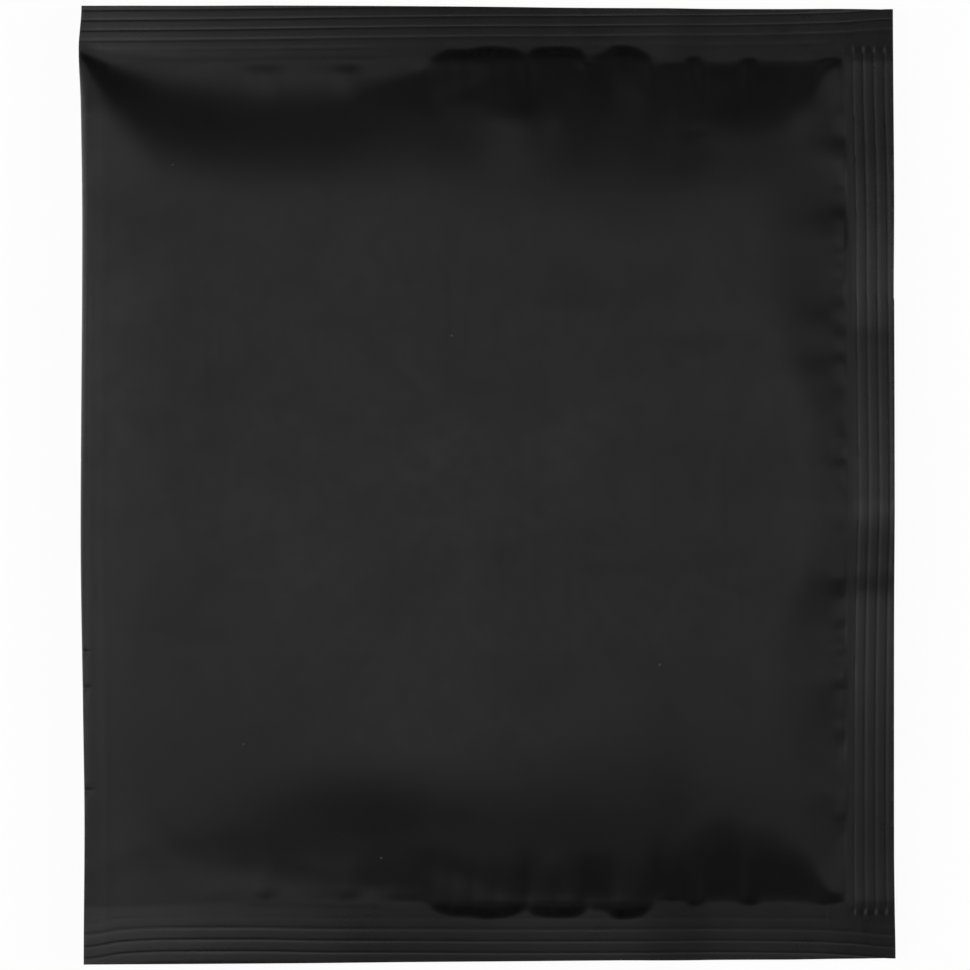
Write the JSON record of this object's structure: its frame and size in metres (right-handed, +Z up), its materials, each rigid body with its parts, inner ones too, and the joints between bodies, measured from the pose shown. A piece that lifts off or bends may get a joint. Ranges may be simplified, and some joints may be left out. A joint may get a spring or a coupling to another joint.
{
  "type": "drip coffee bag",
  "caption": "Flat sealed film sachet for a single-cup drip coffee filter, with ribbed heat seals on three edges, a folded fourth edge and a soft pillow body.",
  "frame": {"origin": "middle of the sachet's outline, on the surface that its back lies on", "axes": "+Z up through the thickness, out of the front; +Y along the height, towards the top seal; +X across the width, from the folded edge towards the side seal"},
  "size_m": [0.1022, 0.1206, 0.0075],
  "materials": {
    "black_film": "matte black laminated film"
  },
  "bodies": {
    "root": {"sachet": "black_film"}
  },
  "joints": []
}
